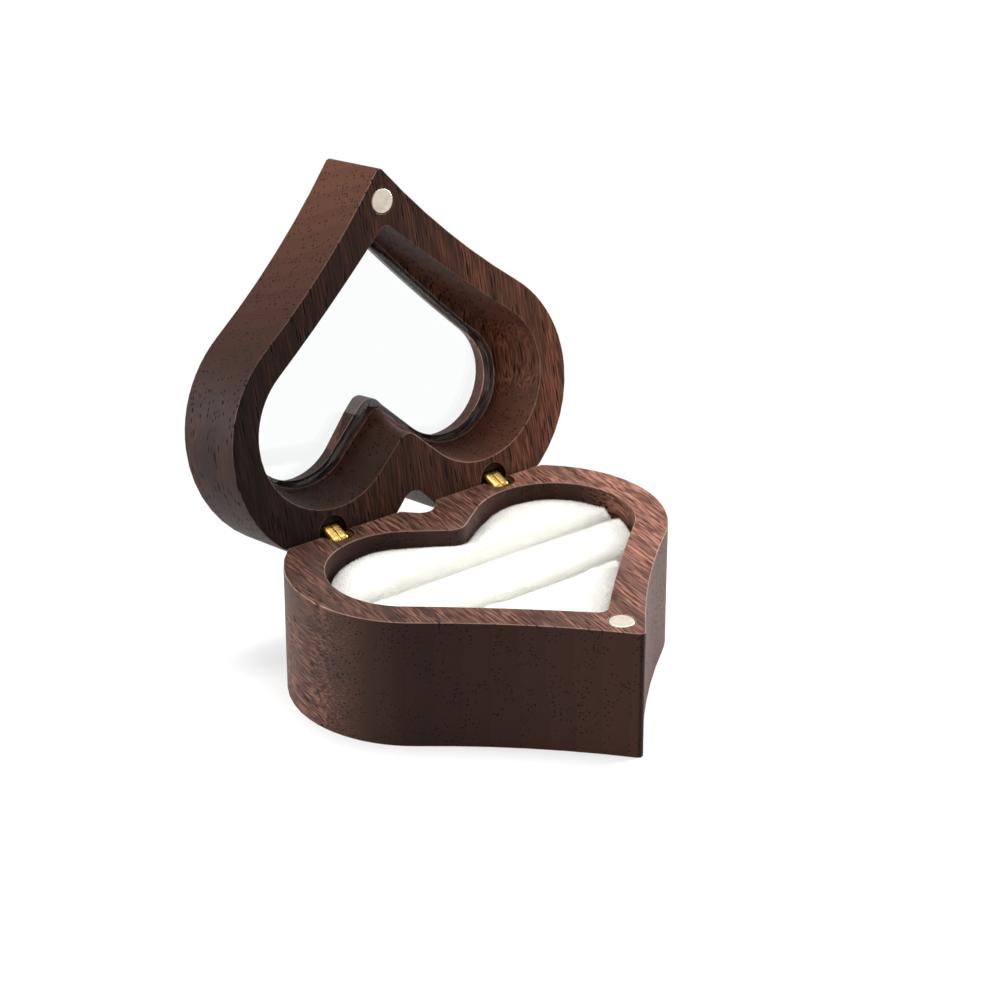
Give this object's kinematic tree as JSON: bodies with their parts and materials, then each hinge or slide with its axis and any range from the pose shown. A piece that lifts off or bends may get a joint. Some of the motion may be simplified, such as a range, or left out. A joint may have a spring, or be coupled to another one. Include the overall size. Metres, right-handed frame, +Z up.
{
  "type": "ring display box",
  "caption": "Heart-shaped walnut ring box with a windowed lid on two concealed barrel hinges, held shut by magnets, with a velvet cushion slit for rings.",
  "frame": {"origin": "middle of the base's underside, halfway between the lobes' sides and between the tip and the lobes' backs", "axes": "+Z up, the heart's tip towards -Y, the hinges towards +Y, X across the lobes"},
  "size_m": [0.065, 0.078, 0.0751],
  "materials": {
    "walnut": "oiled black walnut, fine sanded",
    "velvet": "ivory short-pile velvet over foam",
    "brass": "turned and milled, bare",
    "pin_brass": "drawn wire, bare",
    "magnet": "nickel-plated, satin",
    "acrylic": "clear cast acrylic, polished",
    "card": "grey paperboard"
  },
  "bodies": {
    "base": {"base_block": "walnut", "base_magnet": "magnet", "cushion_card": "card", "cushion_front": "velvet", "cushion_middle": "velvet", "cushion_rear": "velvet", "left_base_barrel": "brass", "right_base_barrel": "brass", "left_base_pin": "pin_brass", "right_base_pin": "pin_brass"},
    "left_links": {"left_outer_link": "brass", "left_inner_link": "brass"},
    "right_links": {"right_inner_link": "brass", "right_outer_link": "brass"},
    "lid": {"lid_frame": "walnut", "window_pane": "acrylic", "lid_magnet": "magnet", "left_lid_barrel": "brass", "right_lid_barrel": "brass", "left_lid_pin": "pin_brass", "right_lid_pin": "pin_brass"}
  },
  "joints": [
    {"name": "link_swing", "type": "hinge", "parent": "base", "child": "left_links", "pos_m": [0, 0.02485, 0.0197], "axis": [1, 0, 0], "range_deg": [0, 70]},
    {"name": "lid_swing", "type": "hinge", "parent": "left_links", "child": "lid", "pos_m": [0, 0.02748, 0.02066], "axis": [1, 0, 0], "range_deg": [0, 28.5]},
    {"name": "right_link_swing", "type": "hinge", "parent": "base", "child": "right_links", "pos_m": [0, 0.02485, 0.0197], "axis": [1, 0, 0], "range_deg": [0, 70]}
  ],
  "couplings": [
    {"joint": "right_link_swing", "follows": "link_swing", "ratio": 1}
  ]
}
